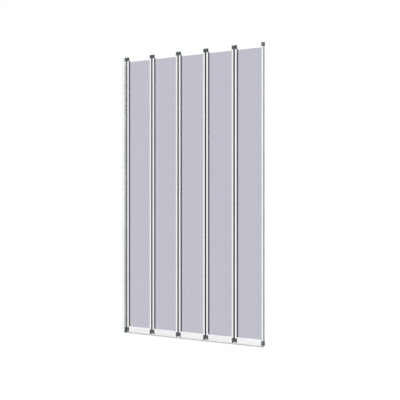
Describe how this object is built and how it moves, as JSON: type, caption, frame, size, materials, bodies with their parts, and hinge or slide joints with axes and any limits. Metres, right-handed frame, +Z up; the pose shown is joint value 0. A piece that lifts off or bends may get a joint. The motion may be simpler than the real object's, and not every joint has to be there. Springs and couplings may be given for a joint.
{
  "type": "folding bath screen",
  "caption": "Folding bath screen of flat glazed panels in slim aluminium profiles, joined edge to edge by pinned link hinges so that they fold both ways onto a wall profile.",
  "frame": {"origin": "on the wall, at the foot of the wall profile on the bath rim, on the screen's centre plane", "axes": "+X along the open screen away from the wall, +Y across the screen (the outside of the bath is at -Y), +Z up"},
  "size_m": [1.2082, 0.0236, 1.4],
  "materials": {
    "aluminium": "pale silver anodised, satin",
    "glazing": "clear pane with a light grey-lilac tone, see-through",
    "gasket": "dark grey glazing gasket, satin",
    "nose_strip": "dark grey extruded strip",
    "seal": "translucent near-white soft PVC",
    "cap": "slate grey moulded plastic",
    "end_cap": "lighter slate grey moulded plastic",
    "link": "slate grey glass-filled nylon",
    "pin": "stainless steel",
    "screw": "stainless steel",
    "cover": "pale grey moulded plastic"
  },
  "bodies": {
    "wall": {"adjusting_screws": "screw", "inner_caps": "cap", "inner_nose_strip": "nose_strip", "inner_profile": "aluminium", "screw_covers": "cover", "wall_hinge_pins": "pin", "wall_profile": "aluminium"},
    "panel_1": {"panel_1_bottom_caps": "cap", "panel_1_bottom_seal": "seal", "panel_1_glass": "glazing", "panel_1_glazing_gaskets": "gasket", "panel_1_left_profile": "aluminium", "panel_1_nose_strips": "nose_strip", "panel_1_right_profile": "aluminium", "panel_1_top_caps": "cap"},
    "link_1": {"link_1_pins": "pin", "link_1_plates": "link"},
    "panel_2": {"panel_2_bottom_caps": "cap", "panel_2_bottom_seal": "seal", "panel_2_glass": "glazing", "panel_2_glazing_gaskets": "gasket", "panel_2_left_profile": "aluminium", "panel_2_nose_strips": "nose_strip", "panel_2_right_profile": "aluminium", "panel_2_top_caps": "cap"},
    "link_2": {"link_2_pins": "pin", "link_2_plates": "link"},
    "panel_3": {"panel_3_bottom_caps": "cap", "panel_3_bottom_seal": "seal", "panel_3_glass": "glazing", "panel_3_glazing_gaskets": "gasket", "panel_3_left_profile": "aluminium", "panel_3_nose_strips": "nose_strip", "panel_3_right_profile": "aluminium", "panel_3_top_caps": "cap"},
    "link_3": {"link_3_pins": "pin", "link_3_plates": "link"},
    "panel_4": {"panel_4_bottom_caps": "cap", "panel_4_bottom_seal": "seal", "panel_4_glass": "glazing", "panel_4_glazing_gaskets": "gasket", "panel_4_left_profile": "aluminium", "panel_4_nose_strips": "nose_strip", "panel_4_right_profile": "aluminium", "panel_4_top_caps": "cap"},
    "link_4": {"link_4_pins": "pin", "link_4_plates": "link"},
    "panel_5": {"panel_5_bottom_cap": "cap", "panel_5_bottom_seal": "seal", "panel_5_end_caps": "end_cap", "panel_5_end_profile": "aluminium", "panel_5_glass": "glazing", "panel_5_glazing_gaskets": "gasket", "panel_5_left_profile": "aluminium", "panel_5_nose_strip": "nose_strip", "panel_5_top_cap": "cap"}
  },
  "joints": [
    {"name": "wall_hinge", "type": "hinge", "parent": "wall", "child": "panel_1", "pos_m": [0.04365, 0, 0.7], "axis": [0, 0, 1], "range_deg": [-90, 90]},
    {"name": "joint_1_near_pins", "type": "hinge", "parent": "panel_1", "child": "link_1", "pos_m": [0.26835, 0, 0.7], "axis": [0, 0, -1], "range_deg": [-90, 90]},
    {"name": "joint_1_far_pins", "type": "hinge", "parent": "link_1", "child": "panel_2", "pos_m": [0.27865, 0, 0.7], "axis": [0, 0, -1], "range_deg": [-90, 90]},
    {"name": "joint_2_near_pins", "type": "hinge", "parent": "panel_2", "child": "link_2", "pos_m": [0.50335, 0, 0.7], "axis": [0, 0, 1], "range_deg": [-90, 90]},
    {"name": "joint_2_far_pins", "type": "hinge", "parent": "link_2", "child": "panel_3", "pos_m": [0.51365, 0, 0.7], "axis": [0, 0, 1], "range_deg": [-90, 90]},
    {"name": "joint_3_near_pins", "type": "hinge", "parent": "panel_3", "child": "link_3", "pos_m": [0.73835, 0, 0.7], "axis": [0, 0, -1], "range_deg": [-90, 90]},
    {"name": "joint_3_far_pins", "type": "hinge", "parent": "link_3", "child": "panel_4", "pos_m": [0.74865, 0, 0.7], "axis": [0, 0, -1], "range_deg": [-90, 90]},
    {"name": "joint_4_near_pins", "type": "hinge", "parent": "panel_4", "child": "link_4", "pos_m": [0.97335, 0, 0.7], "axis": [0, 0, 1], "range_deg": [-90, 90]},
    {"name": "joint_4_far_pins", "type": "hinge", "parent": "link_4", "child": "panel_5", "pos_m": [0.98365, 0, 0.7], "axis": [0, 0, 1], "range_deg": [-90, 90]}
  ]
}
